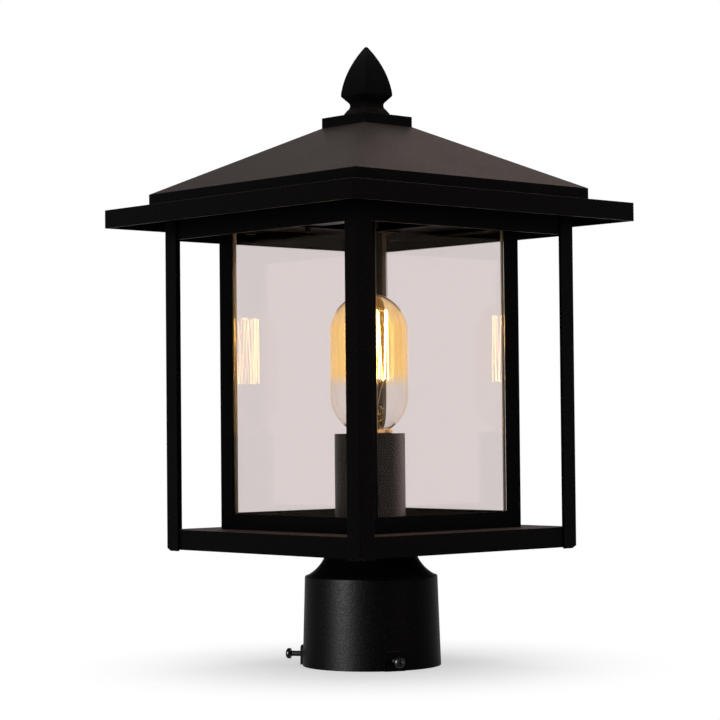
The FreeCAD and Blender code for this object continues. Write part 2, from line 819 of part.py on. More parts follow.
def lamp_stem():
    """The glass mount inside the lamp: a flared foot, a stem and a thin rod."""
    low = glass_foot
    high = low + stem_height
    rod_top = hub_top - hub_height
    wide = lamp_neck_radius - glass_wall - wire_touch
    flare = (stem_radius + stem_flare_middle[0], low + stem_height * stem_flare_middle[1])
    return turned((0, low), (wide, low), (wide, low + stem_flange),
                  (flare, (stem_radius, stem_shoulder())),
                  (stem_radius * stem_neck[0], high - stem_neck[1]), (rod_radius, high),
                  (rod_radius, rod_top), (0, rod_top))


def stem_shoulder():
    """The height where the stem's flare ends."""
    return glass_foot + stem_height * stem_flare_top


def round_lamp(radius, strand, z):
    """A point at this radius, in line with a strand of the filament."""
    turn = math.radians(360 * (strand + 0.5) / filament_strands)
    return V(radius * math.cos(turn), radius * math.sin(turn), z)


def filament_points():
    """Corners of the squirrel cage filament: up and down round the rod, open on one side."""
    points = []
    for i in range(filament_strands):
        levels = (filament_low, filament_high) if i % 2 == 0 else (filament_high, filament_low)
        for z in levels:
            points.append(round_lamp(filament_radius, i, z))
    return points


def lamp_filament():
    """The filament as one unbroken wire with mitred knees."""
    points = filament_points()
    path = Part.makePolygon(points)
    section = Part.Wire(Part.makeCircle(filament_wire_radius, points[0], V(0, 0, 1)))
    shell = Part.BRepOffsetAPI.MakePipeShell(path)
    shell.setTransitionMode(1)
    shell.add(section)
    shell.build()
    shell.makeSolid()
    return shell.shape()


def support_ring(z, strands):
    """A hub on the rod with a wire to each of these strands at this height."""
    hub = Part.makeCylinder(hub_radius, hub_height, V(0, 0, z - hub_height / 2))
    root = hub_radius - 2 * support_wire_radius
    reach = filament_radius - filament_wire_radius - wire_touch
    wires = [rod_between(round_lamp(root, i, z), round_lamp(reach, i, z), support_wire_radius)
             for i in strands]
    return hub.multiFuse(wires)


def lamp_supports():
    """The upper and lower filament supports. The leads hold the first and last strand's foot."""
    upper = support_ring(filament_high, range(filament_strands))
    upper = upper.cut(disc(rod_radius, filament_low - hub_height, hub_top - hub_height))
    lower = support_ring(filament_low, range(1, filament_strands - 1))
    lower = lower.cut(disc(rod_radius, filament_low - hub_height, filament_high))
    return Part.makeCompound([upper, lower])


def lamp_leads():
    """The two lead wires from the stem to the ends of the filament."""
    root = stem_radius + lead_wire_radius + wire_touch
    wires = []
    for strand in (0, filament_strands - 1):
        foot = round_lamp(root, strand, stem_shoulder())
        stop = round_lamp(filament_radius, strand, filament_low - lead_wire_radius / 2)
        wires.append(rod_between(foot, stop, lead_wire_radius))
    return Part.makeCompound(wires)


# ---------------------------------------------------------------- all pieces
def all_pieces():
    """Every sub-part by node name."""
    pieces = {
        "post_collar": post_collar(),
        "neck_gasket": neck_gasket(),
        "earth_screw": earth_screw(),
        "bottom_tray": bottom_tray(),
        "top_frame": top_frame(),
        "pane_clips": pane_clips(),
        "roof_brim": roof_brim(),
        "roof_cap": roof_cap(),
        "roof_plinth": roof_plinth(),
        "finial": finial(),
        "finial_stud": finial_stud(),
        "stud_nuts": stud_nuts(),
        "cross_bar": cross_bar(),
        "cross_bar_screws": cross_bar_screws(),
        "nipple": nipple(),
        "nipple_nuts": nipple_nuts(),
        "nipple_washer": nipple_washer(),
        "socket_bracket": socket_bracket(),
        "bracket_screws": bracket_screws(),
        "holder_body": holder_body(),
        "holder_shell": holder_shell(),
        "holder_contact": holder_contact(),
        "holder_sleeve": holder_sleeve(),
        "lamp_glass": lamp_glass(),
        "lamp_base": lamp_base(),
        "lamp_insulator": lamp_insulator(),
        "lamp_tip": lamp_tip(),
        "lamp_stem": lamp_stem(),
        "lamp_filament": lamp_filament(),
        "lamp_supports": lamp_supports(),
        "lamp_leads": lamp_leads(),
    }
    for i in range(screw_count):
        pieces["locking_screw_" + str(i + 1)] = locking_screw(i)
    sides = ("front", "right", "back", "left")
    corners = ("front_left", "front_right", "back_right", "back_left")
    wide_pane = cage_inner - glass_slack
    narrow_pane = wide_pane - glass_thickness
    for i in range(4):
        pieces["post_" + corners[i]] = turn_z(corner_post(), i * 90)
        pieces["cage_post_" + corners[i]] = turn_z(cage_post(), i * 90)
        pieces["cage_rail_" + sides[i]] = turn_z(cage_rail(), i * 90)
        half_width = wide_pane if i % 2 == 0 else narrow_pane
        pieces["pane_" + sides[i]] = turn_z(pane(half_width), i * 90)
    return pieces


def main():
    """Write one file for each sub-part."""
    os.makedirs("parts", exist_ok=True)
    for name, shape in all_pieces().items():
        box = shape.BoundBox
        print(name, len(shape.Solids), "solids", round(shape.Volume, 1), "mm3, z",
              round(box.ZMin, 2), "to", round(box.ZMax, 2), "valid", shape.isValid())
        shape.exportStep("parts/" + name + ".step")


main()
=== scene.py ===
"""Post top lantern: finishes, fine pieces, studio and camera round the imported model.

Every piece of sheet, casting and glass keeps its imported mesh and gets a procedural
finish. Threads, the lamp's blown glass and its filament are built here as finer
meshes that stand for the plain ones. Lengths are in metres unless a name says mm.
"""
import json
import logging
import math
from dataclasses import dataclass
from enum import Enum
from typing import Sequence

import bmesh
import bpy
from mathutils import Matrix, Vector


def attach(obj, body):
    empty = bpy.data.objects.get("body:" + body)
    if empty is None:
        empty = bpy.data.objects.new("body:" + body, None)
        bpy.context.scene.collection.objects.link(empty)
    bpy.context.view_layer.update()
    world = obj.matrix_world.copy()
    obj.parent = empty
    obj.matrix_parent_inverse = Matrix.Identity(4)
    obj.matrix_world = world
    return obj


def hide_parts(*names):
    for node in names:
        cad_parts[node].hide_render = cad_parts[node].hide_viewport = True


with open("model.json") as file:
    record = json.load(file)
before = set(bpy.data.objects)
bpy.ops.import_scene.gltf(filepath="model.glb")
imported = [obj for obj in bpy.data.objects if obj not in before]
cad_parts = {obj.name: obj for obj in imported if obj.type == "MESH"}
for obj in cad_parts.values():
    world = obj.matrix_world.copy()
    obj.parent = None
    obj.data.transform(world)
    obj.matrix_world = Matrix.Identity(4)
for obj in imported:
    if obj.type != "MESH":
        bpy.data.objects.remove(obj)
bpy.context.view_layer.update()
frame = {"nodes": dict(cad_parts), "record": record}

LOG = logging.getLogger("lantern")
MM = 0.001
CORNERS = ("front_left", "front_right", "back_right", "back_left")
SIDES = ("front", "right", "back", "left")

Colour = tuple[float, float, float]
Point = tuple[float, float]


class Body(Enum):
    """The bodies that pieces ride on."""

    HOUSING = "housing"
    ROOF = "roof"
    FINIAL = "finial_nut"
    LAMP = "lamp"
    SCREW_1 = "screw_1"
    SCREW_2 = "screw_2"
    SCREW_3 = "screw_3"


class Fit(Enum):
    """How a thread is cut."""

    SHARP = "sharp"
    ROUND = "round"


# ------------------------------------------------------------------ node trees
class Tree:
    """A material's node tree with short calls to add and join nodes."""

    def __init__(self, name: str) -> None:
        """Start a material with one Principled shader.

        Args:
            name: The material's name.
        """
        self.material = bpy.data.materials.new(name)
        self.material.use_nodes = True
        self.nodes = self.material.node_tree.nodes
        self.links = self.material.node_tree.links
        self.nodes.clear()
        self.output = self.nodes.new("ShaderNodeOutputMaterial")
        self.shader = self.nodes.new("ShaderNodeBsdfPrincipled")
        self.links.new(self.shader.outputs[0], self.output.inputs["Surface"])
        place = self.nodes.new("ShaderNodeTexCoord")
        self.place = place.outputs["Object"]

    def set(self, **values: object) -> None:
        """Set sockets of the shader; an underscore in a name stands for a space.

        Args:
            values: Socket names and their values.
        """
        for name, value in values.items():
            self.shader.inputs[name.replace("_", " ")].default_value = value

    def drive(self, socket: str, source: bpy.types.NodeSocket) -> None:
        """Feed one of the shader's sockets.

        Args:
            socket: The socket's name.
            source: What feeds it.
        """
        self.links.new(source, self.shader.inputs[socket])

    def scaled(self, stretch: Sequence[float]) -> bpy.types.NodeSocket:
        """The object's coordinates stretched along each axis.

        Args:
            stretch: The factor along X, Y and Z.

        Returns:
            The vector socket.
        """
        mapping = self.nodes.new("ShaderNodeMapping")
        mapping.inputs["Scale"].default_value = stretch
        self.links.new(self.place, mapping.inputs["Vector"])
        return mapping.outputs[0]

    def noise(self, scale: float, detail: float = 2.0, place: bpy.types.NodeSocket | None = None,
              rough: float = 0.5) -> bpy.types.NodeSocket:
        """Fractal noise over the object.

        Args:
            scale: Features per metre.
            detail: Octaves.
            place: Coordinates, the object's own if left out.
            rough: Strength of the finer octaves.

        Returns:
            The value socket.
        """
        node = self.nodes.new("ShaderNodeTexNoise")
        node.inputs["Scale"].default_value = scale
        node.inputs["Detail"].default_value = detail
        node.inputs["Roughness"].default_value = rough
        self.links.new(place or self.place, node.inputs["Vector"])
        return node.outputs[0]

    def ranged(self, source: bpy.types.NodeSocket, low: float, high: float,
               start: float = 0.0, end: float = 1.0) -> bpy.types.NodeSocket:
        """A value mapped from one range to another, clamped.

        Args:
            source: The value.
            low: Result at the start.
            high: Result at the end.
            start: Where the range begins.
            end: Where it ends.

        Returns:
            The mapped value.
        """
        node = self.nodes.new("ShaderNodeMapRange")
        node.interpolation_type = "SMOOTHSTEP"
        for name, value in (("From Min", start), ("From Max", end), ("To Min", low), ("To Max", high)):
            node.inputs[name].default_value = value
        self.links.new(source, node.inputs["Value"])
        return node.outputs[0]

    def blend(self, factor: bpy.types.NodeSocket, first: object, second: object) -> bpy.types.NodeSocket:
        """A colour between two, each a plain colour or a socket.

        Args:
            factor: 0 gives the first, 1 the second.
            first: A linear colour or a colour socket.
            second: A linear colour or a colour socket.

        Returns:
            The colour socket.
        """
        node = self.nodes.new("ShaderNodeMix")
        node.data_type = "RGBA"
        for index, end in ((6, first), (7, second)):
            if isinstance(end, tuple):
                node.inputs[index].default_value = (*end, 1.0)
            else:
                self.links.new(end, node.inputs[index])
        self.links.new(factor, node.inputs[0])
        return node.outputs[2]

    def bump(self, height: bpy.types.NodeSocket, depth: float, strength: float = 1.0,
             under: bpy.types.NodeSocket | None = None) -> bpy.types.NodeSocket:
        """A bumped normal.

        Args:
            height: The height from 0 to 1.
            depth: Metres from lowest to highest.
            strength: Share of the bump that is applied.
            under: A normal to build on.

        Returns:
            The normal socket.
        """
        node = self.nodes.new("ShaderNodeBump")
        node.inputs["Distance"].default_value = depth
        node.inputs["Strength"].default_value = strength
        self.links.new(height, node.inputs["Height"])
        if under is not None:
            self.links.new(under, node.inputs["Normal"])
        return node.outputs[0]

    def axis(self, name: str) -> bpy.types.NodeSocket:
        """One coordinate of the object.

        Args:
            name: X, Y or Z.

        Returns:
            The value socket, in metres.
        """
        node = self.nodes.new("ShaderNodeSeparateXYZ")
        self.links.new(self.place, node.inputs[0])
        return node.outputs[name]

    def upward(self) -> bpy.types.NodeSocket:
        """The upward part of the surface's direction.

        Returns:
            The value socket, 1 where the surface lies flat.
        """
        place = self.nodes.new("ShaderNodeTexCoord")
        node = self.nodes.new("ShaderNodeSeparateXYZ")
        self.links.new(place.outputs["Normal"], node.inputs[0])
        return node.outputs["Z"]

    def math(self, operation: str, first: bpy.types.NodeSocket, second: object) -> bpy.types.NodeSocket:
        """A sum, product or other operation on two values.

        Args:
            operation: Its name, such as ADD.
            first: The first value.
            second: A number or a socket.

        Returns:
            The result.
        """
        node = self.nodes.new("ShaderNodeMath")
        node.operation = operation
        self.links.new(first, node.inputs[0])
        if isinstance(second, (int, float)):
            node.inputs[1].default_value = second
        else:
            self.links.new(second, node.inputs[1])
        return node.outputs[0]

    def pass_lamp_light(self, tint: Colour, mirrored: bool = False) -> None:
        """Let lamps shine through: for their rays the surface is a clear tinted film.

        Args:
            tint: The colour of the light that gets through.
            mirrored: It is such a film in mirror images too, which keeps them crisp.
        """
        path = self.nodes.new("ShaderNodeLightPath")
        light = path.outputs["Is Shadow Ray"]
        if mirrored:
            glossy, through = (path.outputs["Is " + kind + " Ray"] for kind in ("Glossy", "Transmission"))
            light = self.math("MAXIMUM", light, self.math("SUBTRACT", glossy, through))
        clear = self.nodes.new("ShaderNodeBsdfTransparent")
        clear.inputs["Color"].default_value = (*tint, 1.0)
        mix = self.nodes.new("ShaderNodeMixShader")
        self.links.new(light, mix.inputs[0])
        self.links.new(self.shader.outputs[0], mix.inputs[1])
        self.links.new(clear.outputs[0], mix.inputs[2])
        self.links.new(mix.outputs[0], self.output.inputs["Surface"])


# ------------------------------------------------------------------ finishes
@dataclass(frozen=True)
class PowderCoat:
    """Fine-textured black powder coat on sheet and castings, with painted top light: a lighter warm
    colour on up-facing faces above 80 mm.
    """

    name: str = "powder_coat"
    tone: Colour = (0.0007, 0.0006, 0.0006)
    fleck: Colour = (0.0028, 0.0023, 0.0022)
    dust: Colour = (0.014, 0.0105, 0.0095)
    sheen: float = 0.035
    sheen_tint: Colour = (1.0, 0.7, 0.62)
    sheen_roughness: float = 0.3
    dust_above: float = 80.0 * MM
    dust_softness: float = 4.0 * MM
    dust_dulling: float = 0.16
    flat_from: float = 0.4
    flat_to: float = 0.85
    mottle_per_m: float = 26.0
    spread: float = 0.06
    roughness: float = 0.42
    specular: float = 0.013
    tint: Colour = (1.0, 0.86, 0.82)
    grain_per_m: float = 1000.0
    grain_depth: float = 0.1 * MM
    peel_per_m: float = 420.0
    peel_depth: float = 0.05 * MM

    def material(self) -> bpy.types.Material:
        """Make the material.

        Returns:
            The finished material.
        """
        tree = Tree(self.name)
        tree.set(IOR=1.5, Specular_IOR_Level=self.specular, Specular_Tint=(*self.tint, 1.0),
                 Sheen_Weight=self.sheen, Sheen_Tint=(*self.sheen_tint, 1.0),
                 Sheen_Roughness=self.sheen_roughness)
        grain = tree.noise(self.grain_per_m)
        peel = tree.noise(self.peel_per_m)
        mottle = tree.ranged(tree.noise(self.mottle_per_m, 3.0), 0.8, 1.0, 0.3, 0.7)
        flecks = tree.ranged(grain, 0.0, 1.0, 0.5, 0.7)
        # Painted top light: film is the mottled share of up-facing faces above 80 mm. There the colour
        # turns lighter and warmer and the roughness rises, standing in for the light from above.
        high = tree.ranged(tree.axis("Z"), 0.0, 1.0, self.dust_above - self.dust_softness,
                           self.dust_above + self.dust_softness)
        flat = tree.ranged(tree.upward(), 0.0, 1.0, self.flat_from, self.flat_to)
        film = tree.math("MULTIPLY", tree.math("MULTIPLY", flat, high), mottle)
        tree.drive("Base Color", tree.blend(film, tree.blend(flecks, self.tone, self.fleck), self.dust))
        grained = tree.ranged(grain, self.roughness - self.spread, self.roughness + self.spread, 0.3, 0.7)
        tree.drive("Roughness", tree.math("ADD", tree.math("MULTIPLY", film, self.dust_dulling), grained))
        relief = tree.bump(peel, self.peel_depth)
        tree.drive("Normal", tree.bump(grain, self.grain_depth, 1.0, relief))
        return tree.material


@dataclass(frozen=True)
class PaneGlass:
    """Flat pane glass with a faint warm grey tint and a painted dark shade line by each upright edge.

    At the back right corner the line lies further in and leaves a clear strip outside it.
    """

    name: str = "pane_glass"
    tint: Colour = (0.793, 0.751, 0.746)
    ground: Colour = (0.012, 0.007, 0.004)
    ground_from: float = 52.6 * MM
    ground_to: float = 55.6 * MM
    line_shift: float = 1.0 * MM
    clear_strip: float = 1.3 * MM
    ground_roughness: float = 0.5
    outer_face: float = 63.25 * MM
    ior: float = 1.12
    gloss_tint: Colour = (1.0, 0.74, 0.45)
    line_softness: float = 0.25 * MM
    wave_per_m: float = 18.0
    wave_depth: float = 0.01 * MM

    def material(self) -> bpy.types.Material:
        """Make the material.

        Returns:
            The finished material.
        """
        tree = Tree(self.name)
        tree.set(IOR=self.ior, Transmission_Weight=1.0, Specular_Tint=(*self.gloss_tint, 1.0))
        x, y = (tree.math("ABSOLUTE", tree.axis(name), 0.0) for name in ("X", "Y"))
        across = tree.math("MINIMUM", x, y)
        outside = tree.math("GREATER_THAN", tree.math("MAXIMUM", x, y), self.outer_face)
        corner = tree.math("ADD", tree.axis("X"), tree.axis("Y"))
        start, end = self.outer_face, 1.5 * self.outer_face
        inner = tree.math("ADD", across, tree.ranged(corner, 0.0, self.line_shift, start, end))
        shift = self.line_shift + self.clear_strip
        outer = tree.math("ADD", across, tree.ranged(corner, 0.0, shift, start, end))
        # Painted shade: a dark, duller strip along each upright edge of the pane, standing in for the
        # shade where the pane meets the posts.
        soft = self.line_softness
        rise = tree.ranged(inner, 0.0, 1.0, self.ground_from - soft, self.ground_from + soft)
        fall = tree.ranged(outer, 1.0, 0.0, self.ground_to - soft, self.ground_to + soft)
        edge_shade_line = tree.math("MULTIPLY", tree.math("MULTIPLY", rise, fall), outside)
        tree.drive("Base Color", tree.blend(edge_shade_line, self.tint, self.ground))
        tree.drive("Roughness", tree.math("MULTIPLY", edge_shade_line, self.ground_roughness))
        wave = tree.noise(self.wave_per_m, 1.0)
        tree.drive("Normal", tree.bump(wave, self.wave_depth))
        tree.pass_lamp_light(self.tint)
        return tree.material


@dataclass(frozen=True)
class LampGlass:
    """Blown lamp glass: amber above a soft line, clear below, faintly streaked, with a faint painted
    orange glow in the amber.
    """

    name: str = "lamp_glass"
    amber: Colour = (0.96, 0.86, 0.56)
    streak: Colour = (0.9, 0.68, 0.34)
    clear: Colour = (0.975, 0.95, 0.93)
    glow: Colour = (1.0, 0.5, 0.13)
    glow_strength: float = 0.1
    line_height: float = 174.7 * MM
    line_softness: float = 6.0 * MM
    streaks_per_m: float = 330.0
    crown_share: float = 0.55
    crown_from: float = 205.0 * MM
    crown_to: float = 228.0 * MM
    stretch: tuple[float, float, float] = (1.0, 1.0, 0.04)
    film: Colour = (0.97, 0.85, 0.65)

    def material(self) -> bpy.types.Material:
        """Make the material.

        Returns:
            The finished material.
        """
        tree = Tree(self.name)
        tree.set(Roughness=0.0, IOR=1.3, Transmission_Weight=1.0)
        height = tree.axis("Z")
        level = tree.ranged(height, 0.0, 1.0, self.line_height - self.line_softness,
                            self.line_height + self.line_softness)
        crown = tree.ranged(height, 1.0, self.crown_share, self.crown_from, self.crown_to)
        level = tree.math("MULTIPLY", level, crown)
        streaks = tree.noise(self.streaks_per_m, place=tree.scaled(self.stretch))
        lines = tree.ranged(streaks, 0.0, 1.0, 0.45, 0.75)
        stain = tree.blend(lines, self.amber, self.streak)
        tree.drive("Base Color", tree.blend(level, self.clear, stain))
        # Painted glow: the amber part emits a faint orange light, standing in for the filament's light
        # caught in the glass.
        tree.set(Emission_Color=(*self.glow, 1.0))
        tree.drive("Emission Strength", tree.math("MULTIPLY", level, self.glow_strength))
        tree.pass_lamp_light(self.film, mirrored=True)
        return tree.material


@dataclass(frozen=True)
class InnerGlass:
    """The clear glass of the lamp's mount."""

    name: str = "stem_glass"
    tint: Colour = (0.92, 0.88, 0.82)
    film: Colour = (0.95, 0.93, 0.9)
    ripple_per_m: float = 900.0
    smooth: float = 0.02
    dull: float = 0.12

    def material(self) -> bpy.types.Material:
        """Make the material.

        Returns:
            The finished material.
        """
        tree = Tree(self.name)
        tree.set(Base_Color=(*self.tint, 1.0), IOR=1.3, Transmission_Weight=1.0)
        tree.drive("Roughness", tree.ranged(tree.noise(self.ripple_per_m), self.smooth, self.dull))
        tree.pass_lamp_light(self.film, mirrored=True)
        return tree.material


@dataclass(frozen=True)
class Metal:
    """A bare or plated metal with fine drawn lines and dull spots."""

    name: str
    tone: Colour
    dull: Colour
    roughness: float
    lines_per_m: float = 2600.0
    lines_depth: float = 0.008 * MM
    stretch: tuple[float, float, float] = (1.0, 1.0, 0.06)
    spots_per_m: float = 180.0

    def material(self) -> bpy.types.Material:
        """Make the material.

        Returns:
            The finished material.
        """
        tree = Tree(self.name)
        tree.set(Metallic=1.0)
        spots = tree.ranged(tree.noise(self.spots_per_m, 4.0), 0.0, 1.0, 0.42, 0.68)
        tree.drive("Base Color", tree.blend(spots, self.tone, self.dull))
        lines = tree.noise(self.lines_per_m, place=tree.scaled(self.stretch))
        tree.drive("Roughness", tree.ranged(lines, self.roughness - 0.05, self.roughness + 0.1, 0.3, 0.7))
        tree.drive("Normal", tree.bump(lines, self.lines_depth))
        return tree.material


@dataclass(frozen=True)
class Moulding:
    """A moulded plastic or rubber with a fine spark-eroded grain."""

    name: str
    tone: Colour
    lighter: Colour
    roughness: float
    specular: float = 0.4
    grain_per_m: float = 1900.0
    grain_depth: float = 0.02 * MM
    spread: float = 0.06
    clouds_per_m: float = 60.0

    def material(self) -> bpy.types.Material:
        """Make the material.

        Returns:
            The finished material.
        """
        tree = Tree(self.name)
        tree.set(Specular_IOR_Level=self.specular)
        grain = tree.noise(self.grain_per_m)
        clouds = tree.ranged(tree.noise(self.clouds_per_m, 3.0), 0.0, 1.0, 0.35, 0.7)
        tree.drive("Base Color", tree.blend(clouds, self.tone, self.lighter))
        grained = tree.ranged(grain, self.roughness - self.spread, self.roughness + self.spread, 0.3, 0.7)
        tree.drive("Roughness", grained)
        tree.drive("Normal", tree.bump(grain, self.grain_depth))
        return tree.material


@dataclass(frozen=True)
class GlowingWire:
    """The hot filament."""

    name: str = "filament"
    core: Colour = (1.0, 0.92, 0.45)
    edge: Colour = (1.0, 0.56, 0.12)
    strength: float = 110.0
    facing_blend: float = 0.35
    coil_per_m: float = 3000.0

    def material(self) -> bpy.types.Material:
        """Make the material.

        Returns:
            The finished material.
        """
        tree = Tree(self.name)
        tree.set(Base_Color=(*self.edge, 1.0), Roughness=0.6)
        facing = tree.nodes.new("ShaderNodeLayerWeight")
        facing.inputs["Blend"].default_value = self.facing_blend
        tree.drive("Emission Color", tree.blend(facing.outputs["Facing"], self.core, self.edge))
        coil = tree.noise(self.coil_per_m, 1.0)
        heat = tree.ranged(coil, self.strength * 0.85, self.strength * 1.1, 0.3, 0.7)
        tree.drive("Emission Strength", heat)
        return tree.material


class Finishes:
    """Each finish once, by the record's slot name."""

    def __init__(self) -> None:
        """Make all the materials."""
        made = (
            PowderCoat(),
            PaneGlass(),
            PaneGlass("bright_pane", (0.88, 0.83, 0.822), ior=1.5, gloss_tint=(1.0, 0.87, 0.72)),
            LampGlass(),
            InnerGlass(),
            GlowingWire(),
            Metal("zinc_steel", (0.6, 0.6, 0.58), (0.4, 0.4, 0.4), 0.32),
            Metal("brass", (0.8, 0.5, 0.2), (0.55, 0.34, 0.13), 0.26),
            Metal("solder", (0.6, 0.6, 0.6), (0.4, 0.4, 0.41), 0.42),
            Metal("support_wire", (0.42, 0.36, 0.3), (0.28, 0.24, 0.2), 0.35),
            Metal("earth_green", (0.04, 0.28, 0.09), (0.02, 0.16, 0.05), 0.34),
            Moulding("black_steel", (0.003, 0.0028, 0.0028), (0.006, 0.0055, 0.0055), 0.33, 0.08, 1400.0,
                     0.01 * MM),
            Moulding("gasket_rubber", (0.02, 0.02, 0.02), (0.032, 0.032, 0.031), 0.75, 0.2, 900.0,
                     0.03 * MM),
            Moulding("holder_moulding", (0.03, 0.028, 0.026), (0.042, 0.04, 0.037), 0.42),
            Moulding("sleeve_black", (0.0085, 0.0068, 0.0064), (0.0105, 0.0085, 0.008), 0.38, 0.1, 1500.0,
                     0.0004 * MM, 0.004),
            Moulding("insulator_black", (0.004, 0.004, 0.006), (0.007, 0.007, 0.01), 0.12, 0.5, 400.0,
                     0.005 * MM),
        )
        self.by_slot = {finish.name: finish.material() for finish in made}
        self.slots = {part["node"]: part["material_slot"] for part in frame["record"]["subparts"]}
        self.shown = dict(frame["nodes"])

    def dress(self, *nodes: str, finish: str = "") -> None:
        """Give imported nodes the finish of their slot.

        Args:
            nodes: Node names.
            finish: Another finish to use in its place.
        """
        for name in nodes:
            mesh = frame["nodes"][name].data
            mesh.materials.clear()
            mesh.materials.append(self.by_slot[finish or self.slots[name]])
            LOG.info("dressed %s", name)

    def place(self, piece: bpy.types.Object, body: Body, *nodes: str) -> None:
        """Dress a finer piece in its node's finish and let it stand for the node.

        Args:
            piece: The new piece.
            body: The body it rides on.
            nodes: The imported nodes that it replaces.
        """
        slot = self.slots[nodes[0]]
        piece.data.materials.clear()
        piece.data.materials.append(self.by_slot[slot])
        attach(piece, body.value)
        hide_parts(*nodes)
        self.shown.update((name, piece) for name in nodes)
        LOG.info("built %s for %s", piece.name, ", ".join(nodes))


# ------------------------------------------------------------------ mesh making
def ring(radii: Sequence[float], height: float) -> list[Vector]:
    """Points round the axis at one height.

    Args:
        radii: The radius at each step round.
        height: Their height.

    Returns:
        The points in order.
    """
    step = 2 * math.pi / len(radii)
    return [Vector((r * math.cos(i * step), r * math.sin(i * step), height)) for i, r in enumerate(radii)]


def skin(name: str, rings: Sequence[Sequence[Vector]], closed: bool = False,
         crease: float = 40.0) -> bpy.types.Object:
    """A smooth mesh through rings of points.

    Args:
        name: The new object's name.
        rings: Rings with the same number of points each.
        closed: Join the last ring to the first, otherwise both ends are capped.
        crease: Edges sharper than this many degrees stay crisp.

    Returns:
        The new object, linked to the scene.
    """
    form = bmesh.new()
    rows = [[form.verts.new(point) for point in points] for points in rings]
    count = len(rows[0])
    pairs = list(zip(rows, rows[1:])) + ([(rows[-1], rows[0])] if closed else [])
    for low, high in pairs:
        for i in range(count):
            j = (i + 1) % count
            form.faces.new((low[i], low[j], high[j], high[i]))
    if not closed:
        form.faces.new(list(reversed(rows[0])))
        form.faces.new(rows[-1])
    bmesh.ops.remove_doubles(form, verts=form.verts, dist=1e-7)
    bmesh.ops.recalc_face_normals(form, faces=form.faces)
    mesh = bpy.data.meshes.new(name)
    form.to_mesh(mesh)
    form.free()
    mesh.shade_smooth()
    mesh.set_sharp_from_angle(angle=math.radians(crease))
    piece = bpy.data.objects.new(name, mesh)
    bpy.context.scene.collection.objects.link(piece)
    return piece


def lathe(name: str, outline: Sequence[Point], steps: int = 96, closed: bool = False) -> bpy.types.Object:
    """A turned form.

    Args:
        name: The new object's name.
        outline: Radius and height of each point.
        steps: Points round the axis.
        closed: The outline is a loop.

    Returns:
        The new object.
    """
    return skin(name, [ring([radius] * steps, height) for radius, height in outline], closed)


def wire(name: str, paths: Sequence[Sequence[Vector]], radius: float) -> bpy.types.Object:
    """Round wires along paths, as one curve.

    Args:
        name: The new object's name.
        paths: The points of each wire.
        radius: The wire's radius.

    Returns:
        The new object.
    """
    curve = bpy.data.curves.new(name, "CURVE")
    curve.dimensions = "3D"
    curve.bevel_depth = radius
    curve.bevel_resolution = 2
    curve.use_fill_caps = True
    for points in paths:
        spline = curve.splines.new("POLY")
        spline.points.add(len(points) - 1)
        for knot, point in zip(spline.points, points):
            knot.co = (*point, 1.0)
    piece = bpy.data.objects.new(name, curve)
    bpy.context.scene.collection.objects.link(piece)
    return piece


@dataclass(frozen=True)
class Thread:
    """A screw thread on a rod along Z."""

    crest: float
    depth: float
    pitch: float
    fit: Fit = Fit.SHARP
    steps: int = 24
    rows_per_turn: int = 8
    flank: float = 1.15

    def radius(self, height: float, turn: float) -> float:
        """The surface's radius.

        Args:
            height: The height on the rod.
            turn: The place round it, as a share of a turn.

        Returns:
            The radius there.
        """
        phase = (height / self.pitch - turn) % 1.0
        if self.fit is Fit.ROUND:
            dip = 0.5 - 0.5 * math.cos(2 * math.pi * phase)
        else:
            dip = 1.0 - min(1.0, abs(2.0 * phase - 1.0) * self.flank)
        return self.crest - self.depth * dip

    def rings(self, low: float, high: float) -> list[list[Vector]]:
        """Rings of the threaded surface, chamfered at both ends.

        Args:
            low: Where the thread starts.
            high: Where it ends.

        Returns:
            The rings from low to high.
        """
        rows = max(2, round((high - low) / self.pitch * self.rows_per_turn))
        made = []
        for row in range(rows + 1):
            height = low + (high - low) * row / rows
            edge = self.crest - self.depth + min(height - low, high - height)
            radii = [min(self.radius(height, step / self.steps), edge) for step in range(self.steps)]
            made.append(ring(radii, height))
        return made


def lay_outwards(piece: bpy.types.Object, angle: float, height: float) -> None:
    """Turn a piece made along Z so that it points outwards from the axis.

    Args:
        piece: The piece.
        angle: Degrees from +X.
        height: The height of its axis.
    """
    turn = Matrix.Rotation(math.radians(angle), 4, "Z") @ Matrix.Rotation(math.radians(90.0), 4, "Y")
    piece.data.transform(Matrix.Translation((0.0, 0.0, height)) @ turn)


def link_light(emitter: bpy.types.Object, pieces: Sequence[bpy.types.Object], only: bool) -> None:
    """Limit what a lamp or a glowing piece lights.

    Args:
        emitter: What gives the light.
        pieces: The pieces in question.
        only: Light them alone, otherwise light all but them.
    """
    receivers = bpy.data.collections.new(emitter.name + "_receivers")
    for piece in pieces:
        receivers.objects.link(piece)
    for entry in receivers.collection_objects:
        entry.light_linking.link_state = "INCLUDE" if only else "EXCLUDE"
    emitter.light_linking.receiver_collection = receivers


# ------------------------------------------------------------------ sub-assemblies
@dataclass
class PostCollar:
    """The cast collar with its gasket and earth screw."""

    nodes: tuple[str, ...] = ("post_collar", "neck_gasket", "earth_screw")

    def build(self, finishes: Finishes) -> None:
        """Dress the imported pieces.

        Args:
            finishes: The finishes.
        """
        finishes.dress(*self.nodes)


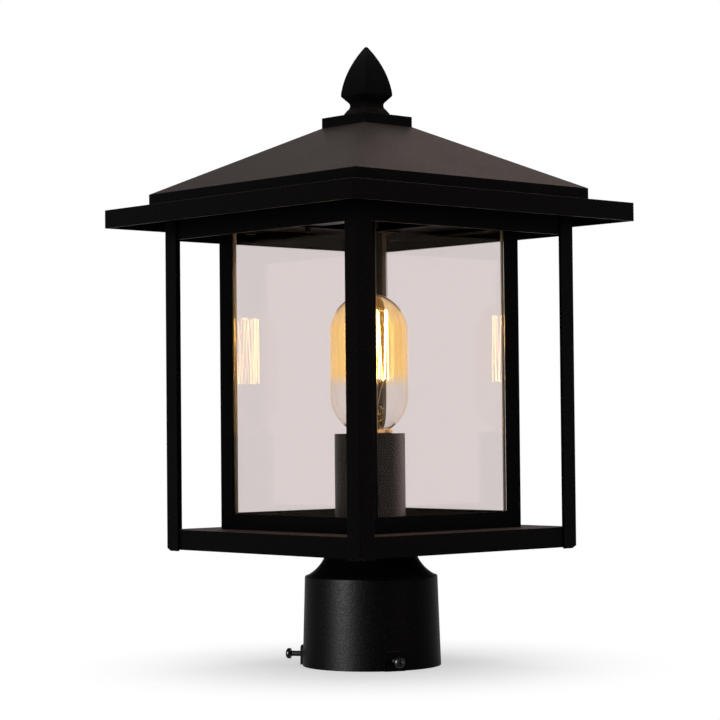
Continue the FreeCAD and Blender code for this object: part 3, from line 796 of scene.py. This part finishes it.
@dataclass
class LockingScrews:
    """Three pan head screws with a cut thread and a cross recess."""

    angles: tuple[float, ...] = (-24.0, 96.0, 216.0)
    axis_height: float = 6.2 * MM
    seat: float = 51.2 * MM
    tip: float = 39.0 * MM
    head_radius: float = 3.25 * MM
    head_height: float = 3.2 * MM
    rim_share: float = 0.42
    under_edge: float = 0.15 * MM
    recess_reach: float = 1.9 * MM
    recess_width: float = 0.7 * MM
    recess_depth: float = 1.3 * MM
    thread: Thread = Thread(1.74 * MM, 0.2 * MM, 0.7 * MM)

    def build(self, finishes: Finishes) -> None:
        """Make the three screws.

        Args:
            finishes: The finishes.
        """
        for index, angle in enumerate(self.angles, 1):
            screw = self.screw("screw_" + str(index))
            lay_outwards(screw, angle, self.axis_height)
            finishes.place(screw, Body("screw_" + str(index)), "locking_screw_" + str(index))

    def screw(self, name: str) -> bpy.types.Object:
        """One screw along Z.

        Args:
            name: The new object's name.

        Returns:
            The screw.
        """
        radius, top = self.head_radius, self.seat + self.head_height
        head = [(radius * 0.97, self.seat), (radius, self.seat + self.under_edge)]
        for angle in range(88, 12, -8):
            turn = math.radians(angle)
            rise = self.rim_share + (1.0 - self.rim_share) * math.cos(turn)
            head.append((radius * math.sin(turn), self.seat + self.head_height * rise))
        head.append((self.recess_reach * 0.3, top))
        steps = self.thread.steps
        rings = self.thread.rings(self.tip, self.seat)
        rings += [ring([r] * steps, z) for r, z in head]
        body = skin(name, rings)
        self.cut_cross(body, top)
        return body

    def cut_cross(self, body: bpy.types.Object, top: float) -> None:
        """Cut the cross recess into a screw's head.

        Args:
            body: The screw along Z.
            top: The height of its crown.
        """
        form = bmesh.new()
        for long_x in (True, False):
            levels = []
            for height, share in ((top - self.recess_depth, 0.45), (top + self.recess_depth, 1.55)):
                reach, width = self.recess_reach * share, self.recess_width * share / 2
                x, y = (reach, width) if long_x else (width, reach)
                levels.append([form.verts.new((sx * x, sy * y, height))
                               for sx, sy in ((-1, -1), (1, -1), (1, 1), (-1, 1))])
            form.faces.new(list(reversed(levels[0])))
            form.faces.new(levels[1])
            for i in range(4):
                j = (i + 1) % 4
                form.faces.new((levels[0][i], levels[0][j], levels[1][j], levels[1][i]))
        mesh = bpy.data.meshes.new("recess")
        form.to_mesh(mesh)
        form.free()
        cutter = bpy.data.objects.new("recess", mesh)
        bpy.context.scene.collection.objects.link(cutter)
        cut = body.modifiers.new("recess", "BOOLEAN")
        cut.object = cutter
        cut.operation = "DIFFERENCE"
        cut.solver = "EXACT"
        cut.use_self = True
        graph = bpy.context.evaluated_depsgraph_get()
        graph.update()
        finished = bpy.data.meshes.new_from_object(body.evaluated_get(graph))
        body.modifiers.clear()
        body.data = finished
        bpy.data.objects.remove(cutter)


@dataclass
class OuterFrame:
    """The tray, the top frame and the four angle posts between them."""

    nodes: tuple[str, ...] = ("bottom_tray", "top_frame")

    def build(self, finishes: Finishes) -> None:
        """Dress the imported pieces.

        Args:
            finishes: The finishes.
        """
        finishes.dress(*self.nodes, *("post_" + corner for corner in CORNERS))


@dataclass
class GlazedCage:
    """The cage round the lamp: posts, rails, clips and four panes."""

    panes: tuple[str, ...] = ("pane_front", "pane_right")
    bright_panes: tuple[str, ...] = ("pane_back", "pane_left")

    def build(self, finishes: Finishes) -> None:
        """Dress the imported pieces.

        Args:
            finishes: The finishes.
        """
        finishes.dress("pane_clips", *("cage_post_" + corner for corner in CORNERS))
        finishes.dress(*("cage_rail_" + side for side in SIDES), *self.panes)
        finishes.dress(*self.bright_panes, finish="bright_pane")


@dataclass
class Roof:
    """The brim, the hipped cap, the plinth and the finial."""

    nodes: tuple[str, ...] = ("roof_brim", "roof_cap", "roof_plinth", "finial")

    def build(self, finishes: Finishes) -> None:
        """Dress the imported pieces.

        Args:
            finishes: The finishes.
        """
        finishes.dress(*self.nodes)


@dataclass
class RoofFixing:
    """The cross bar with its screws and nuts, and the stud that the finial screws on to."""

    nodes: tuple[str, ...] = ("cross_bar", "cross_bar_screws", "stud_nuts")
    stud_low: float = 266.5 * MM
    stud_high: float = 351.05 * MM
    thread: Thread = Thread(3.17 * MM, 0.7 * MM, 1.27 * MM)

    def build(self, finishes: Finishes) -> None:
        """Dress the bar and cut the stud's thread.

        Args:
            finishes: The finishes.
        """
        finishes.dress(*self.nodes)
        stud = skin("threaded_stud", self.thread.rings(self.stud_low, self.stud_high), crease=25.0)
        finishes.place(stud, Body.HOUSING, "finial_stud")


@dataclass
class LampHolder:
    """The nipple and its nuts, the bracket, the moulded holder and its sleeve."""

    nodes: tuple[str, ...] = ("nipple_nuts", "nipple_washer", "socket_bracket", "bracket_screws",
                              "holder_body", "holder_shell", "holder_contact", "holder_sleeve")
    nipple_low: float = 67.55 * MM
    nipple_high: float = 93.85 * MM
    nipple_bore: float = 3.3 * MM
    thread: Thread = Thread(5.09 * MM, 0.55 * MM, 0.94 * MM, steps=36)

    def build(self, finishes: Finishes) -> None:
        """Dress the holder and cut the nipple's thread.

        Args:
            finishes: The finishes.
        """
        finishes.dress(*self.nodes)
        steps = self.thread.steps
        rings = self.thread.rings(self.nipple_low, self.nipple_high)
        rings += [ring([self.nipple_bore] * steps, z) for z in (self.nipple_high, self.nipple_low)]
        nipple = skin("threaded_nipple", rings, closed=True, crease=25.0)
        finishes.place(nipple, Body.HOUSING, "nipple")


@dataclass
class Lamp:
    """The tubular lamp: blown glass, screw base, and the squirrel cage filament on its mount."""

    nodes: tuple[str, ...] = ("lamp_insulator", "lamp_tip", "lamp_stem")
    glass_radius: float = 23.84 * MM
    glass_wall: float = 0.8 * MM
    neck_radius: float = 12.4 * MM
    shoulder: float = 24.0 * MM
    glass_foot: float = 139.2 * MM
    straight_low: float = 165.0 * MM
    straight_high: float = 204.3 * MM
    base_low: float = 121.6 * MM
    base_rim: float = 142.2 * MM
    base_top: float = 144.2 * MM
    base_wall: float = 0.45 * MM
    rim_radius: float = 13.8 * MM
    rim_round: float = 0.4 * MM
    thread: Thread = Thread(13.1 * MM, 0.8 * MM, 3.63 * MM, Fit.ROUND, 72, 12)
    strands: int = 16
    cage_radius: float = 11.4 * MM
    cage_low: float = 175.2 * MM
    cage_high: float = 217.2 * MM
    gather: float = 0.24
    filament_radius: float = 0.32 * MM
    hook_radius: float = 0.2 * MM
    lead_radius: float = 0.3 * MM
    hub_radius: float = 2.2 * MM
    hub_height: float = 2.4 * MM
    rod_radius: float = 1.1 * MM
    stem_radius: float = 4.4 * MM
    stem_shoulder: float = 154.05 * MM
    shoulder_steps: int = 14
    crown_steps: int = 24
    crown_hole: float = 0.05 * MM
    thread_gap: float = 1.0 * MM
    hook_bend: float = 0.25 * MM
    hook_rise: float = 0.2 * MM
    wire_gap: float = 0.1 * MM
    knee_drop: float = 6.0 * MM

    def build(self, finishes: Finishes) -> None:
        """Make and dress the lamp.

        Args:
            finishes: The finishes.
        """
        finishes.dress(*self.nodes)
        finishes.place(self.glass(), Body.LAMP, "lamp_glass")
        finishes.place(self.base(), Body.LAMP, "lamp_base")
        filament = wire("filament_wire", [self.filament_path()], self.filament_radius)
        finishes.place(filament, Body.LAMP, "lamp_filament")
        link_light(filament, [finishes.shown["holder_sleeve"]], only=False)
        finishes.place(self.supports(), Body.LAMP, "lamp_supports")
        finishes.place(wire("lead_wires", self.lead_paths(), self.lead_radius), Body.LAMP, "lamp_leads")

    def glass_outline(self, inset: float) -> list[Point]:
        """The envelope's outline from its foot to its crown.

        Args:
            inset: How far inside the outer face.

        Returns:
            Radius and height of each point.
        """
        radius, drop, neck = self.glass_radius - inset, self.shoulder - inset, self.neck_radius - inset
        outline = [(neck, self.glass_foot)]
        last = math.acos(neck / radius)
        for i in range(self.shoulder_steps, 0, -1):
            turn = last * i / self.shoulder_steps
            outline.append((radius * math.cos(turn), self.straight_low - drop * math.sin(turn)))
        outline += [(radius, self.straight_low), (radius, (self.straight_low + self.straight_high) / 2)]
        for i in range(self.crown_steps):
            turn = math.pi / 2 * i / self.crown_steps
            outline.append((radius * math.cos(turn), self.straight_high + radius * math.sin(turn)))
        return outline + [(self.crown_hole, self.straight_high + radius)]

    def glass(self) -> bpy.types.Object:
        """The blown envelope with its inner face."""
        outline = self.glass_outline(0.0) + list(reversed(self.glass_outline(self.glass_wall)))
        return lathe("blown_glass", outline, 128, closed=True)

    def base(self) -> bpy.types.Object:
        """The screw base: a rolled thread under a plain rim.

        Returns:
            The new object.
        """
        steps = self.thread.steps
        outer = self.thread.rings(self.base_low, self.base_rim - self.thread_gap)
        rim = [(self.rim_radius, self.base_rim), (self.rim_radius, self.base_top - self.rim_round),
               (self.rim_radius - self.rim_round * 0.3, self.base_top - self.rim_round * 0.3),
               (self.rim_radius - self.rim_round, self.base_top),
               (self.rim_radius - self.base_wall, self.base_top - self.rim_round),
               (self.rim_radius - self.base_wall, self.base_rim)]
        inner = []
        for points in reversed(outer):
            radii = [max(0.0, Vector((p.x, p.y)).length - self.base_wall) for p in points]
            inner.append(ring(radii, points[0].z))
        rings = outer + [ring([r] * steps, z) for r, z in rim] + inner
        return skin("screw_base", rings, closed=True)

    def at(self, radius: float, strand: float, height: float) -> Vector:
        """A point in line with a strand.

        Args:
            radius: Its distance from the axis.
            strand: The strand's number; between two whole numbers it is between two strands.
            height: Its height.

        Returns:
            The point.
        """
        turn = 2 * math.pi * (strand + 0.5) / self.strands
        return Vector((radius * math.cos(turn), radius * math.sin(turn), height))

    def filament_path(self) -> list[Vector]:
        """The filament from one lead to the other: each pair of strands meets round a hook.

        Returns:
            The points of the wire.
        """
        points = []
        for strand in range(self.strands):
            rising = strand % 2 == 0
            foot = strand + (-self.gather if rising else self.gather)
            head = strand + (self.gather if rising else -self.gather)
            if strand in (0, self.strands - 1):
                foot = float(strand)
            ends = [(foot, self.cage_low), (head, self.cage_high)]
            for place, height in ends if rising else reversed(ends):
                points.append(self.at(self.cage_radius, place, height))
            if strand < self.strands - 1:
                bend = self.cage_high + self.hook_bend if rising else self.cage_low - self.hook_bend
                points.append(self.at(self.cage_radius, strand + 0.5, bend))
        return points

    def supports(self) -> bpy.types.Object:
        """Two hubs on the glass rod, each with its fine hooks.

        Returns:
            The new object.
        """
        half, edge = self.hub_height / 2, self.hub_radius * 0.8
        curve = []
        for height, first in ((self.cage_high, 0), (self.cage_low, 1)):
            for strand in range(first, self.strands - 1, 2):
                curve.append([self.at(edge, strand + 0.5, height),
                              self.at(self.cage_radius * 0.6, strand + 0.5, height + self.hook_rise),
                              self.at(self.cage_radius - self.wire_gap, strand + 0.5, height)])
        hooks = wire("filament_hooks", curve, self.hook_radius)
        graph = bpy.context.evaluated_depsgraph_get()
        form = bmesh.new()
        form.from_mesh(bpy.data.meshes.new_from_object(hooks.evaluated_get(graph)))
        bpy.data.objects.remove(hooks)
        for height in (self.cage_high, self.cage_low):
            outline = [(self.rod_radius, height - half), (edge, height - half),
                       (self.hub_radius, height - half * 0.6), (self.hub_radius, height + half * 0.6),
                       (edge, height + half), (self.rod_radius, height + half)]
            hub = lathe("hub", outline, 32, closed=True)
            form.from_mesh(hub.data)
            bpy.data.objects.remove(hub)
        mesh = bpy.data.meshes.new("filament_supports")
        form.to_mesh(mesh)
        form.free()
        piece = bpy.data.objects.new("filament_supports", mesh)
        bpy.context.scene.collection.objects.link(piece)
        return piece

    def lead_paths(self) -> list[list[Vector]]:
        """The two lead wires, from the stem's shoulder to the filament's ends.

        Returns:
            The points of each wire.
        """
        paths = []
        for strand in (0, self.strands - 1):
            foot = self.at(self.stem_radius, strand, self.stem_shoulder)
            knee = self.at(self.cage_radius * 0.75, strand, self.cage_low - self.knee_drop)
            paths.append([foot, knee, self.at(self.cage_radius, strand, self.cage_low - self.wire_gap)])
        return paths


# ------------------------------------------------------------------ studio
@dataclass(frozen=True)
class SoftLamp:
    """A square area lamp aimed at the lantern's middle."""

    name: str
    place: tuple[float, float, float]
    size: float
    power: float
    colour: Colour = (1.0, 1.0, 1.0)
    glints: tuple[str, ...] = ()
    aim: tuple[float, float, float] = (0.0, 0.0, 0.2)

    def build(self, shown: dict[str, bpy.types.Object]) -> None:
        """Hang the lamp. It lights all but the panes, or the gloss of its glints alone.

        Args:
            shown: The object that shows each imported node.
        """
        data = bpy.data.lights.new(self.name, "AREA")
        data.size = self.size
        data.energy = self.power
        data.color = self.colour
        lamp = bpy.data.objects.new("lamp_" + self.name, data)
        lamp.location = self.place
        lamp.rotation_mode = "QUATERNION"
        lamp.rotation_quaternion = (Vector(self.aim) - lamp.location).to_track_quat("-Z", "Y")
        lamp.visible_diffuse = lamp.visible_transmission = not self.glints
        bpy.context.scene.collection.objects.link(lamp)
        lit = self.glints or ["pane_" + side for side in SIDES]
        link_light(lamp, [shown[node] for node in lit], bool(self.glints))


@dataclass
class Studio:
    """Pale floor, white surroundings, soft lamps and the photograph's camera."""

    camera_place: tuple[float, float, float] = (1.0231, -0.9311, 0.1451)
    camera_forward: tuple[float, float, float] = (-0.74196, 0.66976, 0.03034)
    camera_right: tuple[float, float, float] = (0.66982, 0.74246, -0.00936)
    lens_mm: float = 112.2
    sensor_mm: float = 36.0
    floor_half: float = 6.0
    floor_tone: float = 0.96
    ambient: float = 0.55
    fade_start: float = 0.05
    fade_end: float = 0.2
    near_share: float = 0.5
    lamps: tuple[SoftLamp, ...] = (
        SoftLamp("top", (-0.3, 0.3, 1.8), 1.2, 9.0),
        SoftLamp("key", (0.0, -1.95, 0.5), 0.9, 12.0),
        SoftLamp("fill", (1.9, 0.3, 0.5), 0.8, 11.0),
        SoftLamp("sheen", (-0.06, -1.95, 0.36), 0.6, 480.0, (0.84, 0.965, 1.0), (
            "post_collar", "locking_screw_1", "locking_screw_2", "locking_screw_3")),
        SoftLamp("edge", (0.55, 1.82, 0.4), 1.1, 120.0, (1.0, 0.86, 0.83), ("holder_sleeve",)),
        SoftLamp("slopes", (-1.04, 1.38, 1.2), 1.2, 11.0, (1.0, 0.72, 0.65), ("roof_cap", "roof_brim")),
    )

    def build(self, shown: dict[str, bpy.types.Object]) -> None:
        """Make the floor, world, lamps and camera.

        Args:
            shown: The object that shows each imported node.
        """
        self.make_world()
        self.make_floor()
        for lamp in self.lamps:
            lamp.build(shown)
        self.make_camera()

    def make_world(self) -> None:
        """White for camera, gloss and glass; a plain grey for the light it gives."""
        world = bpy.data.worlds.new("studio")
        bpy.context.scene.world = world
        world.use_nodes = True
        nodes = world.node_tree.nodes
        links = world.node_tree.links
        nodes.clear()
        output = nodes.new("ShaderNodeOutputWorld")
        path = nodes.new("ShaderNodeLightPath")
        seen = nodes.new("ShaderNodeMath")
        seen.operation = "MAXIMUM"
        links.new(path.outputs["Is Camera Ray"], seen.inputs[0])
        links.new(path.outputs["Is Glossy Ray"], seen.inputs[1])
        through = nodes.new("ShaderNodeMath")
        through.operation = "MAXIMUM"
        links.new(seen.outputs[0], through.inputs[0])
        links.new(path.outputs["Is Transmission Ray"], through.inputs[1])
        backdrop = nodes.new("ShaderNodeBackground")
        backdrop.inputs["Strength"].default_value = 1.0
        fill = nodes.new("ShaderNodeBackground")
        fill.inputs["Strength"].default_value = self.ambient
        mix = nodes.new("ShaderNodeMixShader")
        for background in (backdrop, fill):
            background.inputs["Color"].default_value = (1.0, 1.0, 1.0, 1.0)
        links.new(through.outputs[0], mix.inputs[0])
        links.new(fill.outputs[0], mix.inputs[1])
        links.new(backdrop.outputs[0], mix.inputs[2])
        links.new(mix.outputs[0], output.inputs["Surface"])

    def make_floor(self) -> None:
        """A pale floor that keeps the shadow near the lantern and fades to white."""
        half = self.floor_half
        mesh = bpy.data.meshes.new("floor")
        mesh.from_pydata([(-half, -half, 0), (half, -half, 0), (half, half, 0), (-half, half, 0)],
                         [], [(0, 1, 2, 3)])
        floor = bpy.data.objects.new("floor", mesh)
        bpy.context.scene.collection.objects.link(floor)
        tree = Tree("floor")
        tree.set(Base_Color=(self.floor_tone, self.floor_tone, self.floor_tone, 1.0), Roughness=0.9,
                 Specular_IOR_Level=0.1)
        reach = tree.nodes.new("ShaderNodeVectorMath")
        reach.operation = "LENGTH"
        tree.links.new(tree.place, reach.inputs[0])
        far = tree.ranged(reach.outputs["Value"], self.near_share, 1.0, self.fade_start, self.fade_end)
        glow = tree.nodes.new("ShaderNodeEmission")
        path = tree.nodes.new("ShaderNodeLightPath")
        seen = tree.math("MAXIMUM", path.outputs["Is Camera Ray"], path.outputs["Is Glossy Ray"])
        seen = tree.math("MAXIMUM", seen, path.outputs["Is Transmission Ray"])
        mix = tree.nodes.new("ShaderNodeMixShader")
        tree.links.new(tree.math("MULTIPLY", far, seen), mix.inputs[0])
        tree.links.new(tree.shader.outputs[0], mix.inputs[1])
        tree.links.new(glow.outputs[0], mix.inputs[2])
        tree.links.new(mix.outputs[0], tree.output.inputs["Surface"])
        mesh.materials.append(tree.material)

    def make_camera(self) -> None:
        """The camera at the photograph's viewing angle."""
        data = bpy.data.cameras.new("camera")
        data.lens = self.lens_mm
        data.sensor_width = self.sensor_mm
        data.clip_start = 0.01
        camera = bpy.data.objects.new("camera", data)
        forward = Vector(self.camera_forward).normalized()
        right = Vector(self.camera_right)
        right = (right - forward * right.dot(forward)).normalized()
        up = right.cross(forward)
        turn = Matrix((right, up, -forward)).transposed()
        camera.matrix_world = Matrix.Translation(self.camera_place) @ turn.to_4x4()
        bpy.context.scene.collection.objects.link(camera)
        bpy.context.scene.camera = camera
        bpy.context.scene.view_settings.view_transform = "Standard"


def main() -> None:
    """Build and dress the lantern, then the studio."""
    finishes = Finishes()
    assemblies = (PostCollar(), LockingScrews(), OuterFrame(), GlazedCage(), Roof(), RoofFixing(),
                  LampHolder(), Lamp())
    for assembly in assemblies:
        assembly.build(finishes)
        LOG.info("%s ready", type(assembly).__name__)
    Studio().build(finishes.shown)


if __name__ == "__main__":
    logging.basicConfig(level=logging.INFO, format="%(name)s: %(message)s")
    main()
